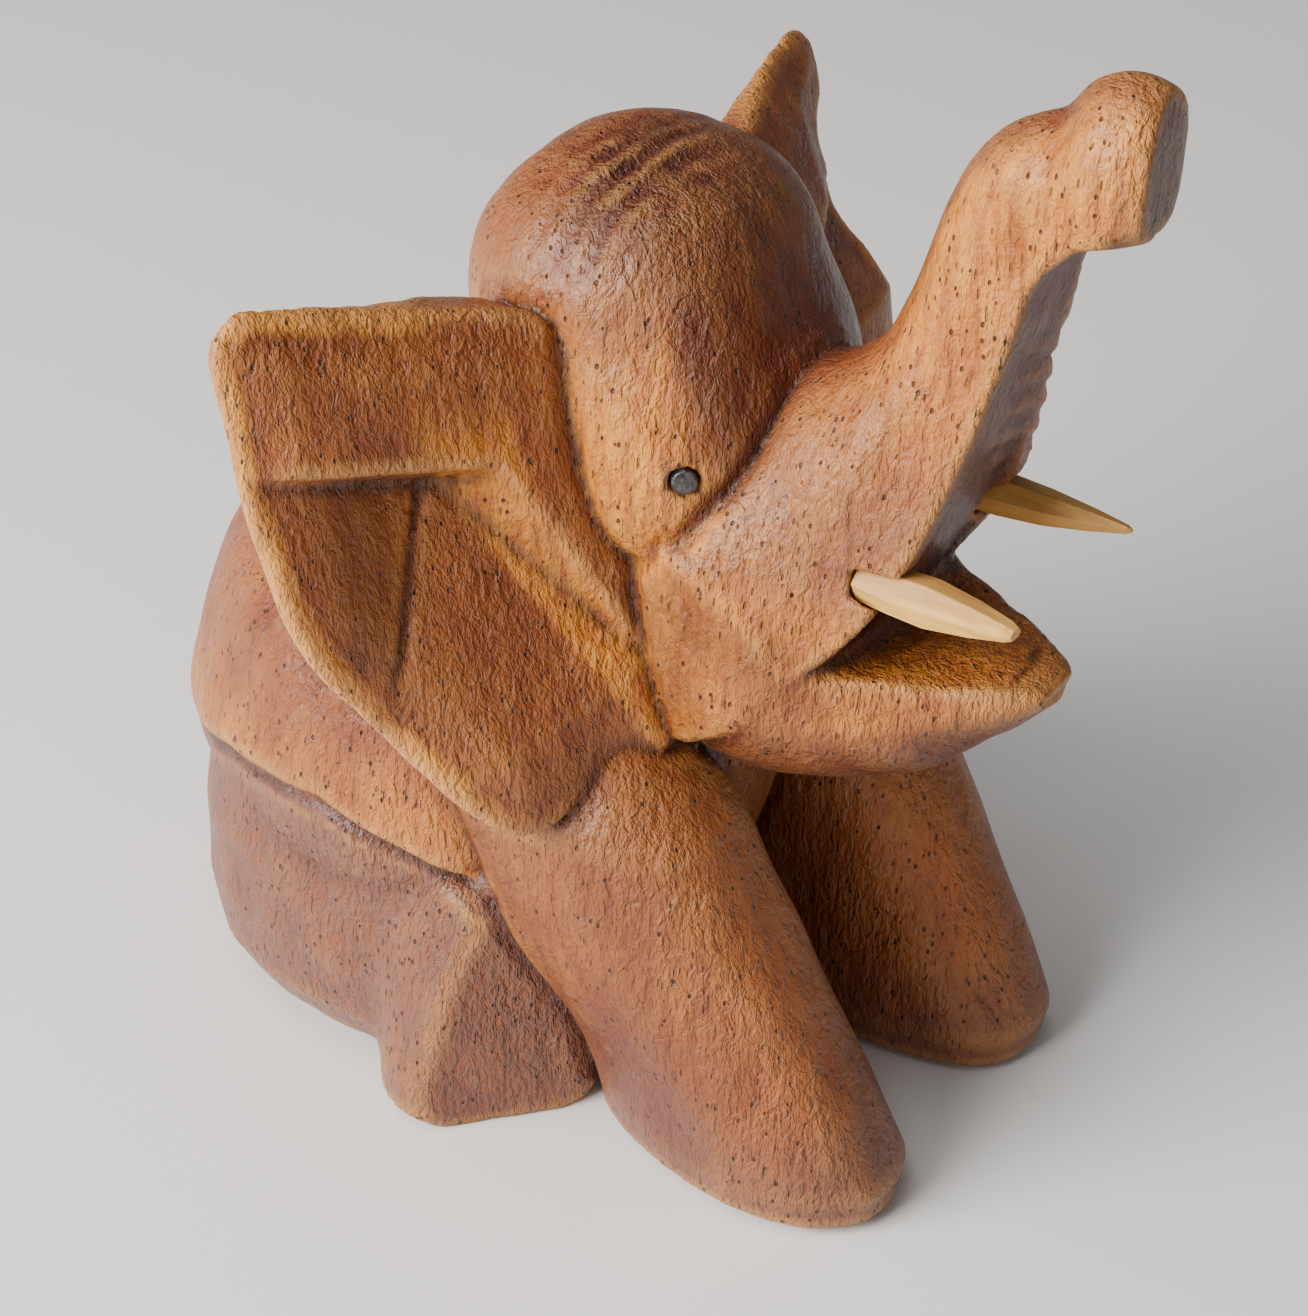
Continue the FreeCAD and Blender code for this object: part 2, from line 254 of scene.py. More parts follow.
# Level sections of the legs: x and y of the middle, height, half width, half length.
FRONT_LEG = (
    (13.0, 4.0, 52, 6.5, 8.0),
    (14.0, 2.0, 46, 8.2, 9.8),
    (14.8, -3.5, 36, 9.4, 14.0),
    (14.2, -10.0, 22, 9.0, 15.2),
    (13.5, -15.5, 11, 8.9, 15.8),
    (13.0, -18.3, 4, 8.8, 16.4),
    (13.0, -18.4, 1, 8.2, 15.8),
    (13.0, -18.5, 0, 6.6, 14.2),
)
THIGH = (
    (12.3, 18.8, 34, 11.4, 18.8),
    (12.3, 18.8, 27, 11.8, 20.0),
    (12.3, 18.8, 20, 12.2, 20.4),
    (12.3, 18.8, 12, 12.2, 20.4),
    (12.3, 18.8, 6, 11.4, 19.5),
    (12.3, 18.8, 2.5, 9.6, 17.6),
    (12.3, 18.8, 0, 6.5, 14.5),
)
HIND_FOOT = (
    (16.0, 5.0, 29, 4.0, 6.0),
    (16.5, 5.5, 24, 6.0, 8.0),
    (17.0, 5.5, 14, 8.6, 9.0),
    (17.0, 5.0, 5, 10.7, 9.6),
    (17.0, 5.0, 1.5, 10.8, 9.5),
    (17.0, 5.0, 0, 9.2, 8.2),
)

# Rounded solids: centre, half sizes, degrees that the top leans forward, and how square
# it is, from 2 for an ellipsoid upwards.
BARREL = ((0, 18, 28.5), (25, 28, 30), 10, 2.0)
WITHERS = ((0, 3, 48), (19, 17, 27), 0, 2.0)
SKULL = ((0, -0.1, 75.8), (14.6, 13.7, 13.9), 0, 2.4)
BROW = ((0, -3.5, 66.4), (15.8, 13.5, 14.9), 0, 2.5)
CHEEK = ((0, -11.0, 53.5), (13.8, 13.7, 14), 0, 3.2)
BELL = ((0, -42.9, 99.9), (5.6, 5.4, 6.3), 0, 2.2)

# Flat cuts: a point on the cut, and the way it faces.
HAUNCH_FACET = ((21, 1, 25.5), (0.657, -0.754, 0.027))
BELL_END = ((-4, -46.3, 0), (0.17, -0.985, 0))

# How steeply the bell drops to both sides of its pointed lip.
BELL_POINT = 0.22

# Creases where solids meet: depth, and width.
EAR_CREASE = (0.45, 0.8)
EYE_CREASE = (0.45, 0.9)
NECK_CREASE = (0.5, 1.2)
LEG_CREASE = (0.5, 1.2)
HAUNCH_CREASE = (0.5, 0.9)
FLANK_GROOVE = (0.8, 0.75)

# How far the flank swells out over its groove, and how fast the front leg's outside narrows
# towards the heel.
FLANK_SWELL = 0.5
HEEL_TAPER = 0.19

# Sections across a limb: y and z on the arched side, y and z on the flat side, half width.
# The curve through them is followed in that many steps.
LIMB_STEPS = 110
TRUNK = (
    (6.0, 60.0, -6.0, 38.0, 14.6),
    (-1.5, 64.0, -14.0, 44.0, 14.0),
    (-7.5, 67.5, -19.5, 50.0, 12.7),
    (-12.8, 71.0, -25.2, 55.2, 11.5),
    (-17.5, 74.5, -29.2, 62.0, 10.2),
    (-21.0, 77.4, -31.8, 68.0, 8.6),
    (-23.6, 80.0, -34.0, 74.5, 7.0),
    (-25.2, 83.2, -35.5, 80.0, 6.0),
    (-26.7, 87.5, -36.7, 85.0, 5.4),
    (-28.2, 92.6, -37.9, 89.2, 5.1),
    (-30.6, 97.2, -39.4, 91.9, 5.0),
    (-34.2, 100.4, -40.9, 93.2, 5.0),
    (-37.6, 102.0, -41.8, 93.8, 4.9),
    (-40.0, 102.6, -43.0, 94.2, 4.8),
)
JAW = (
    (4.0, 38.5, 4.0, 62.0, 13.6),
    (-5.0, 36.5, -5.0, 62.0, 13.4),
    (-13.0, 35.8, -14.0, 58.0, 13.3),
    (-19.5, 36.8, -21.0, 53.4, 12.8),
    (-25.5, 39.8, -27.0, 51.7, 10.9),
    (-30.5, 43.4, -32.0, 51.8, 8.6),
    (-35.0, 46.4, -35.6, 52.0, 6.4),
    (-37.6, 48.4, -38.0, 52.1, 4.8),
    (-39.8, 50.2, -40.1, 52.0, 3.0),
)

# The tail's middle line: y, z, radius.
TAIL = ((33, 50, 3.0), (40.3, 40.5, 2.5), (43.4, 28, 2.0), (43.2, 17, 2.5), (42.4, 9, 1.2))

# The crease between the flank and the haunch: y, and the crease's height there.
HAUNCH_LINE = ((-5, 23.5), (2, 24.0), (9, 27.4), (18, 30.6), (30, 29.8), (38, 26.8))

# Knife wrinkles under the trunk: how many to a millimetre of height, and how deep.
WRINKLES_PER_MM = 0.34
WRINKLE_DEPTH = 0.32

# Half the width of the fold inside the lip: z, and the half width there.
LIP_FOLD = ((54, 11.6), (62, 10), (70, 8), (80, 6.2))

# Corners of the ears' outlines, from each ear's own place: outwards, and up.
EAR_OUTLINE = (
    (-6.0, -3.0), (-1.0, -1.2), (10.8, 1.5), (19.6, 4.1), (22.4, 1.8), (21.6, -9.5),
    (19.3, -22.7), (12.5, -34.0), (5.8, -42.8), (3.0, -45.0), (-5.5, -43.4),
    (-17.0, -39.0), (-17.5, -32.0), (-12.5, -15.0),
)
FAR_OUTLINE = (
    (-6.0, -3.0), (-1.0, -1.2), (11.9, 2.2), (20.6, 2.0), (22.0, 0.2), (20.8, -2.2),
    (14.8, -6.2), (12.4, -11.5), (13.0, -15.6), (14.6, -21.8), (14.4, -27.5),
    (10.0, -34.0), (3.0, -38.5), (-5.5, -39.0), (-17.0, -36.0), (-17.5, -30.0),
    (-12.5, -15.0),
)

# Each ear's place, how far it is turned back and leans forward in degrees, how much its
# hollow is narrowed, how strongly its lower end bends forward, and how golden it is.
# The two aren't alike: the left one is smaller, darker and leans further forward.
EARS = {
    "right": {"side": -1, "at": (19.0, 3.3, 82.0), "turn": 26.0, "lean": 14.5,
              "outline": EAR_OUTLINE, "narrow": 1.0, "bend": 0.0, "golden": 1.0},
    "left": {"side": 1, "at": (19.0, 3.8, 80.0), "turn": 16.0, "lean": 28.0,
             "outline": FAR_OUTLINE, "narrow": 1.5, "bend": 0.42, "golden": 0.35},
}

# How far down an ear its bend starts, and how far its slab reaches past the outline.
EAR_BEND_START = 22
EAR_MARGIN = 0.7

# An ear's front face, how deep its rim is bevelled, and its back at the root and the tip.
EAR_FRONT = 1.5
RIM_BEVEL = 0.9
EAR_BACK, EAR_BACK_TIP = -7.5, -1.9

# The hollow in an ear: its corner next to the head, its depth, and its wall's width there.
HOLLOW_CORNER = (5.5, -12.8)
HOLLOW_DEEPEST = 5.5
HEAD_WALL_WIDE = 4.4

# The left tusk and eye peg; the right ones mirror them.  A hole is its radius, its start
# and its end along the tusk's or the peg's own line.
TUSK_AT, TUSK_WAY = (8.6, -26.6, 61.6), (0.0523, -0.9986, 0.0)
TUSK_SEAT = (2.2, -0.1, 6.0)
TUSK_DRILL = (1.3, -5.1, 0.2)
EYE_TURN = math.radians(53)
EYE_AT, EYE_WAY = (13.0, -12.35, 68.0), (math.sin(EYE_TURN), -math.cos(EYE_TURN), 0.0)
EYE_DRILL = (1.25, -3.6, 3.0)

# Sections along a tusk: distance from its shoulder, half width, half height, lift.
TENON_RADIUS = 1.15
TENON = ((-4.9, TENON_RADIUS, TENON_RADIUS, 0.0), (-0.2, TENON_RADIUS, TENON_RADIUS, 0.0))
TUSK_RINGS = {
    "right": TENON + ((0.05, 1.9, 1.9, 0.0), (3.0, 2.05, 2.0, 0.0), (6.5, 2.15, 2.1, 0.1),
                      (10.5, 1.7, 1.5, 0.25), (13.6, 1.15, 0.8, 0.35), (14.3, 0.8, 0.5, 0.35)),
    "left": TENON + ((0.05, 1.9, 1.9, 0.0), (3.0, 2.0, 1.9, 0.0), (7.0, 1.7, 1.6, 0.0),
                     (11.0, 1.1, 1.0, 0.1), (14.2, 0.45, 0.4, 0.2), (14.7, 0.15, 0.15, 0.2)),
}

# Where the corners are round a tusk's section, and how wide its long edges are bevelled.
TUSK_CORNERS = np.radians((12, 70, 128, 188, 232, 305))
TUSK_EDGE = 0.12


# ---------------------------------------------------------------- the block

def ear_places(x, y, z, ear):
    """The ear's own coordinates: outwards, up along the ear, and out of its front."""
    turn, lean, side = math.radians(ear["turn"]), math.radians(ear["lean"]), ear["side"]
    out = np.array([side * math.cos(turn), math.sin(turn), 0])
    back = np.array([-side * math.sin(turn), math.cos(turn), 0])
    up = np.array([0, 0, math.cos(lean)]) + math.sin(lean) * back
    front = side * np.cross(out, up)
    px, py, pz = x - side * ear["at"][0], y - ear["at"][1], z - ear["at"][2]
    u, v, n = [px * w[0] + py * w[1] + pz * w[2] for w in (out, up, front)]
    return u, v, n + ear["bend"] * np.maximum(-v - EAR_BEND_START, 0)


def hollow_places(u, v):
    """From the hollow's inner corner: outwards, up, and away from the head's side."""
    pu, pv = u - HOLLOW_CORNER[0], v - HOLLOW_CORNER[1]
    return pu, pv, 0.883 * pu - 0.469 * pv


def ear_hollow(u, v):
    """How deep the ear's front is hollowed.

    Two flat cuts meet in a V.  They end at a wall towards the head, and at a steeper one
    under the ear's top band.  A slit runs down from the corner."""
    outer_cut = 6.909 - 0.2921 * u + 0.0549 * v
    inner_cut = 6.548 + 0.0616 * u + 0.1787 * v
    pu, pv, from_head = hollow_places(u, v)
    head_wall = from_head + HEAD_WALL_WIDE
    top_wall = 2.6 * (0.206 * pu - 0.979 * pv + 0.7)
    deep = soft_min(outer_cut, inner_cut, 0.2)
    deep = soft_min(deep, soft_min(head_wall, top_wall, 0.4), 0.4)
    slit = 0.962 * pu + 0.337 * pv - 0.25
    deep = deep + 0.45 * bump(slit, 0, 0.5) * step(-18, -14, pv) * step(0, -2, pv)
    return np.clip(deep, 0, HOLLOW_DEEPEST)


def ear_field(x, y, z, ear):
    """An ear as a slab: its front is hollowed and bevelled at the rim, its back is plain."""
    u, v, n = ear_places(x, y, z, ear)
    outline = polygon(u, v, rounded(ear["outline"]))
    rim = step(5, 0, -outline) * step(-4, 6, u + 0.112 * (v + 45))
    front = EAR_FRONT - RIM_BEVEL * rim - ear_hollow(u * ear["narrow"], v) / ear["narrow"]
    thinning = (EAR_BACK_TIP - EAR_BACK) * step(-6, 20, u * ear["narrow"])
    back = EAR_BACK + thinning + 1.2 * step(-20, 4, v)
    slab = soft_max(n - front, back - n, 0.8)
    return soft_max(slab, outline - EAR_MARGIN, 1.4)


def torso_field(x, y, z):
    return soft_min(egg(x, y, z, *BARREL), egg(x, y, z, *WITHERS), 8)


def haunch_line(y):
    """The height of the crease between the flank and the haunch."""
    return np.interp(y, *zip(*HAUNCH_LINE))


def haunch_field(ax, y, z):
    """The thigh and the hind foot, cut off by the flat facet in front of them."""
    thigh = column(ax, y, z, THIGH, 2.3)
    thigh = soft_max(thigh, z - haunch_line(y), 1.2)
    foot = column(ax, y, z, HIND_FOOT, 2.6)
    facet = past_cut(ax, y, z, *HAUNCH_FACET)
    return soft_max(soft_min(thigh, foot, 2.5), facet, 1.0)


def front_leg_field(ax, y, z):
    """The front leg, thinner on its outside towards the heel."""
    heel = HEEL_TAPER * np.maximum(y + 22, 0) * step(24, 6, z) * step(8, 14, ax)
    return column(ax + heel, y, z, FRONT_LEG, 2.4)


def skull_field(x, y, z):
    return soft_min(egg(x, y, z, *SKULL), egg(x, y, z, *BROW), 3)


def trunk_field(x, y, z):
    """The raised trunk, its knife wrinkles and lip fold, and the bell at its end."""
    trunk, over_flat = carved_limb(x, y, z, TRUNK, 1.15, 0.35)
    under = step(2.5, 0.3, over_flat)
    saw = np.abs(((z * WRINKLES_PER_MM + x * 0.10) % 1.0) - 0.5) * 2
    zone = step(64, 69, z) * step(84, 78, z)
    trunk = trunk + under * zone * step(-2.5, 0.5, x) * WRINKLE_DEPTH * saw
    inner = step(2.0, 3.2, np.interp(z, *zip(*LIP_FOLD)) - np.abs(x))
    trunk = trunk + under * inner * step(74, 64, z)
    # the bell's lip is pointed on top, and its end is cut off flat
    bell = egg(x, y, z + BELL_POINT * np.abs(x), *BELL)
    bell = soft_max(bell, past_cut(x, y, z, *BELL_END), 0.35)
    return soft_min(trunk, bell, 1.6)


def body_parts(x, y, z):
    """The main solids by name, before they are joined."""
    ax = np.abs(x)
    parts = {
        "torso": torso_field(x, y, z),
        "haunch": haunch_field(ax, y, z),
        "leg": front_leg_field(ax, y, z),
        "skull": skull_field(x, y, z),
        "tail": capsules(x, y, z, TAIL),
        "trunk": trunk_field(x, y, z),
        "jaw": carved_limb(x, y, z, JAW, 1.35, 0.3)[0],
    }
    for name, ear in EARS.items():
        parts["ear_" + name] = ear_field(x, y, z, ear)
    return parts


def body_joined(p, ax, y, z):
    """Torso, haunches, tail and front legs, with the flank swelling over its crease."""
    body = crease(p["torso"], p["haunch"], *HAUNCH_CREASE)
    above = z - haunch_line(y)
    beside = step(9, 15, ax) * step(-1, 3, y)
    body = body + FLANK_GROOVE[0] * bump(above, 0, FLANK_GROOVE[1]) * beside
    body = body - FLANK_SWELL * step(0, 0.6, above) * step(9, 0.6, above) * beside
    body = soft_min(body, p["tail"], 2.5)
    shoulder = step(38, 48, z)
    return (crease(body, p["leg"], *LEG_CREASE) * (1 - shoulder)
            + soft_min(body, p["leg"], 7) * shoulder)


def head_joined(p, x, y, z):
    """Skull, trunk, jaw and cheeks; the crease under the eye fades towards the forehead."""
    muzzle = soft_min(soft_min(p["trunk"], p["jaw"], 0.8), egg(x, y, z, *CHEEK), 3.5)
    fade = step(67, 78, z + 0.25 * (y + 15))
    return (crease(p["skull"], muzzle, *EYE_CREASE) * (1 - fade)
            + soft_min(p["skull"], muzzle, 5) * fade)


def crown_marks(x, y, z):
    """Where the grain is torn on the crown of the skull."""
    return bump(x, -4, 9.5) * bump(y, -1.2, 4.0) * step(81, 85, z)


def tool_marks(x, y, z):
    """The torn grain on the crown, and the knife's long shallow flats everywhere."""
    torn = np.clip(np.sin(y * 2.5 + x * 0.35 + 0.8 * ripple(x, y, z, 9, 3)), 0, 1)
    torn = crown_marks(x, y, z) * torn * 0.8 * (0.6 + 0.5 * ripple(x, y, z, 5, 4))
    return torn + 0.13 * ripple(x, y, z * 0.6, 9, 1) + 0.06 * ripple(x, y, z * 0.5, 4, 2)


def field(x, y, z):
    """Signed distance to the carved block."""
    p = body_parts(x, y, z)
    ax = np.abs(x)
    whole = crease(body_joined(p, ax, y, z), head_joined(p, x, y, z), *NECK_CREASE)
    for name in EARS:
        whole = crease(whole, p["ear_" + name], *EAR_CREASE)
    whole = whole + tool_marks(x, y, z)
    for at, way, hole in ((TUSK_AT, TUSK_WAY, TUSK_SEAT), (TUSK_AT, TUSK_WAY, TUSK_DRILL),
                          (EYE_AT, EYE_WAY, EYE_DRILL)):
        whole = np.maximum(whole, -round_hole(ax, y, z, at, way, *hole))
    return np.maximum(whole, -z)


def slopes(points, h):
    """The field at the points, and its slope there, measured over h."""
    x, y, z = points.T
    f = field(x, y, z)
    g = np.stack([field(x + h, y, z), field(x, y + h, z), field(x, y, z + h)], -1)
    return f, (g - f[:, None]) / h


def settle(points, rounds):
    """Moves the points onto the field's own surface."""
    for _ in range(rounds):
        f, g = slopes(points, 0.08)
        size = (g ** 2).sum(-1)
        move = -f / np.maximum(size, 0.3)
        points = points + np.clip(move, -0.3, 0.3)[:, None] * g
    return points


def sculpt():
    """Points and faces of the carved block, in millimetres."""
    low, high = np.array(GRID_LOW), np.array(GRID_HIGH)
    counts = np.ceil((high - low) / VOXEL).astype(int) + 1
    axes = [np.arange(-(-n // COARSE_STEP) + 1) * COARSE_STEP * VOXEL + at
            for n, at in zip(counts, low)]
    coarse = field(*np.meshgrid(*axes, indexing="ij"))
    near = [(np.arange(n) + COARSE_STEP // 2) // COARSE_STEP for n in counts]
    values = coarse[np.ix_(*near)].astype(np.float32)
    live = np.argwhere(np.abs(values) < LIVE_REACH)
    for start in range(0, len(live), CELLS_AT_ONCE):
        i, j, k = live[start:start + CELLS_AT_ONCE].T
        values[i, j, k] = field(low[0] + i * VOXEL, low[1] + j * VOXEL, low[2] + k * VOXEL)
    grid = openvdb.FloatGrid(BAND)
    grid.copyFromArray(np.clip(values, -BAND, BAND).astype(np.float32))
    points, quads = grid.convertToQuads(0.0)
    return settle(points.astype(float) * VOXEL + low, 2), quads[:, ::-1]


# ---------------------------------------------------------------- weights for the colours

def surface_turn(points):
    """Unit normals, and how the surface turns: above 0 on edges, below 0 in creases."""
    f, g = slopes(points, 0.5)
    normal = g / np.maximum(np.linalg.norm(g, axis=1), 1e-6)[:, None]
    reach = 1.3
    ahead = field(*(points + normal * reach).T)
    behind = field(*(points - normal * reach).T)
    through = np.clip((ahead + behind - 2 * f) / reach, -1, 1)
    around = 0
    span = 1.5
    for w in np.eye(3) * span:
        around = around + field(*(points + w).T) + field(*(points - w).T) - 2 * f
    return normal, around / span - through


def parts_owned(points):
    """Which solid each point belongs to, as a weight of 0 or 1 by name."""
    x, y, z = points.T
    p = body_parts(x, y, z)
    names = ("torso", "haunch", "leg", "skull", "trunk", "jaw", "ear_right", "ear_left")
    owner = np.argmin(np.stack([p[n] for n in names]), axis=0)
    owned = {n: (owner == i).astype(float) for i, n in enumerate(names)}
    # the flank's part below its crease counts as haunch
    low_flank = (step(0.4, -0.4, z - haunch_line(y)) * step(8, 11, np.abs(x))
                 * step(-2, 1, y) * owned["torso"])
    owned["haunch"] = owned["haunch"] + low_flank
    owned["torso"] = owned["torso"] - low_flank
    return owned


def ear_tones(points, ear):
    """Golden weights, painted shade in the hollow and the upper inner part, and pale rim
    weights of one ear.
    """
    u, v, n = ear_places(*points.T, ear)
    inside = step(0.3, 1.5, ear_hollow(u * ear["narrow"], v)) * (np.abs(n) < 8)
    _, pv, from_head = hollow_places(u, v)
    outer = step(-5.5, -4.0, from_head + 0.35 * np.maximum(pv + 4, 0))
    on_wall = outer * step(0.3, -0.4, from_head) * step(-7, -1, -pv)
    rim = step(-1.7, -0.4, polygon(u, v, rounded(ear["outline"]))) * step(2, 10, u)
    gold = 0.15 + on_wall * 0.7 + rim * 1.1
    # painted shade: darker inside the hollow, and on the ear's upper part next to the head
    dark = 0.14 * inside * (1 - on_wall) + 0.20 * step(-14, -8, v) * step(18, 10, u)
    return [tone * ear["golden"] for tone in (gold, dark, rim * 0.5)]


def shape_colours(points):
    """Per-vertex weights, from the solids' shapes, that the wood's colours follow, painted
    shade and sheen among them.
    """
    x, y, z = points.T
    on = parts_owned(points)
    normal, turn = surface_turn(points)
    sideways, level = np.abs(normal[:, 0]), normal[:, 2]

    gold = on["skull"] * step(88, 72, z) * step(0.60, 0.80, sideways)
    gold = gold + on["jaw"] * 0.55 * step(0.7, 0.3, level) * step(-0.35, 0.3, level)
    gold = gold + on["jaw"] * 0.5 * step(0.6, 0.9, level)
    # the trunk's sides are golden wood; the extra gold towards its top is painted light
    gold = gold + on["trunk"] * step(0.3, 0.8, sideways) * (0.45 + 0.4 * step(74, 88, z))
    gold = gold + on["torso"] * 0.6 * step(40, 29, z) * step(-2, 4, y)
    gold = gold + on["leg"] * 0.15 * step(14, 26, z)

    # painted shade on faces turned from the light: the skull's front, the trunk's and the
    # jaw's undersides, and the bell's flat end
    dark = on["skull"] * 0.7 * step(0.85, 0.55, sideways) * step(66, 74, z) * step(8, -4, y)
    dark = dark + on["trunk"] * step(0.2, 0.7, -level * 0.7 - normal[:, 1] * 0.5)
    dark = dark + on["jaw"] * 0.75 * step(0.25, -0.35, level)
    dark = dark + step(-45.2, -45.9, y) * step(0.6, 0.9, -normal[:, 1])
    # the torn grain on the crown is darker wood
    dark = dark + 0.7 * crown_marks(x, y, z)

    # painted sheen: the varnish's lilac highlight, painted on the haunch, the feet, the
    # skull's near side and the trunk's root
    painted_sheen = on["haunch"] * 0.95 + on["leg"] * step(14, 4, z) * 0.6
    painted_sheen = painted_sheen + on["skull"] * step(70, 80, z) * step(-8, -14, x) * 0.5
    painted_sheen = painted_sheen + on["trunk"] * step(78, 66, z) * step(57, 63, z) * 0.5

    edge = np.clip(turn * 0.9, 0, 1)
    for name, ear in EARS.items():
        ear_gold, ear_dark, ear_pale = ear_tones(points, ear)
        gold = gold + on["ear_" + name] * ear_gold
        dark = dark + on["ear_" + name] * ear_dark
        edge = edge + on["ear_" + name] * ear_pale
    # the hollow weight is painted shade in the creases
    made = {"gold": gold, "dark": dark, "painted_sheen": painted_sheen, "edge": edge, "hollow": -turn}
    return {name: np.clip(weight, 0, 1) for name, weight in made.items()}


# ---------------------------------------------------------------- materials

class Shader:
    """A small builder of node materials."""

    def __init__(self, name):
        self.material = bpy.data.materials.new(name)
        self.material.use_nodes = True
        self.tree = self.material.node_tree
        self.main = self.tree.nodes["Principled BSDF"]

    def node(self, kind, **settings):
        made = self.tree.nodes.new(kind)
        for key, value in settings.items():
            setattr(made, key, value)
        return made

    def feed(self, socket, value):
        """Links a node's output to the socket, or sets a number or a colour on it."""
        if isinstance(value, bpy.types.NodeSocket):
            self.tree.links.new(value, socket)
        elif isinstance(value, tuple) and len(value) == 3 and socket.type == "RGBA":
            socket.default_value = (*value, 1)
        else:
            socket.default_value = value

    def times(self, a, b, plus=0.0):
        """a times b, plus a third value."""
        made = self.node("ShaderNodeMath", operation="MULTIPLY_ADD")
        for socket, given in zip(made.inputs, (a, b, plus)):
            self.feed(socket, given)
        return made.outputs[0]

    def mix(self, share, a, b):
        """Colour a, with that share of colour b over it; sockets 6 and 7 hold the colours."""
        made = self.node("ShaderNodeMix", data_type="RGBA")
        for socket, given in zip((made.inputs["Factor"], made.inputs[6], made.inputs[7]),
                                 (share, a, b)):
            self.feed(socket, given)
        return made.outputs[2]

    def span(self, value, low, high, to_low=0.0, to_high=1.0):
        """The value, eased from low and high to to_low and to_high."""
        made = self.node("ShaderNodeMapRange", interpolation_type="SMOOTHSTEP")
        for socket, given in zip(made.inputs, (value, low, high, to_low, to_high)):
            self.feed(socket, given)
        return made.outputs[0]

    def places(self, scale):
        """The object's own coordinates in millimetres, scaled by axis."""
        coordinates = self.node("ShaderNodeTexCoord").outputs["Object"]
        mapping = self.node("ShaderNodeMapping")
        self.feed(mapping.inputs["Vector"], coordinates)
        mapping.inputs["Scale"].default_value = tuple(s / MM for s in scale)
        return mapping.outputs[0]

    def noise(self, scale, detail=2.0, rough=0.5, bend=0.0):
        made = self.node("ShaderNodeTexNoise")
        settings = {"Vector": self.places(scale), "Scale": 1.0, "Detail": detail,
                    "Roughness": rough, "Distortion": bend}
        for name, value in settings.items():
            self.feed(made.inputs[name], value)
        return made.outputs["Fac"]

    def cells(self, scale):
        made = self.node("ShaderNodeTexVoronoi")
        self.feed(made.inputs["Vector"], self.places(scale))
        self.feed(made.inputs["Scale"], 1.0)
        return made.outputs["Distance"]

    def weight(self, name):
        return self.node("ShaderNodeAttribute", attribute_name=name).outputs["Fac"]

    def bump(self, height, strength, distance):
        made = self.node("ShaderNodeBump")
        made.inputs["Strength"].default_value = strength
        made.inputs["Distance"].default_value = distance
        self.feed(made.inputs["Height"], height)
        return made.outputs["Normal"]

    def set(self, **values):
        for key, value in values.items():
            self.feed(self.main.inputs[key.replace("_", " ")], value)


# Colours of the body's wood, and of its painted shade and sheen: red, green and blue in linear
# light.
HEART_DEEP, HEART = (0.135, 0.024, 0.005), (0.255, 0.056, 0.009)
SAP_DEEP, SAP = (0.46, 0.125, 0.009), (0.70, 0.265, 0.026)
BLOTCH = (0.34, 0.100, 0.017)
# painted shade on faces turned from the light and in the ears' hollows, and the crown's dark
# torn grain
SHADE_AND_DARK_GRAIN = (0.062, 0.010, 0.003)
# a lilac varnish sheen, painted into the colour as a highlight
PAINTED_SHEEN = (0.142, 0.062, 0.048)
FIBRE = (0.055, 0.013, 0.005)
CHIP = (0.38, 0.140, 0.036)
WORN_EDGE = (0.54, 0.250, 0.062)
# painted shade that darkens the creases
CREASE_SHADE = (0.022, 0.006, 0.003)
PORE = (0.035, 0.010, 0.006)
SLIT = (0.06, 0.018, 0.009)


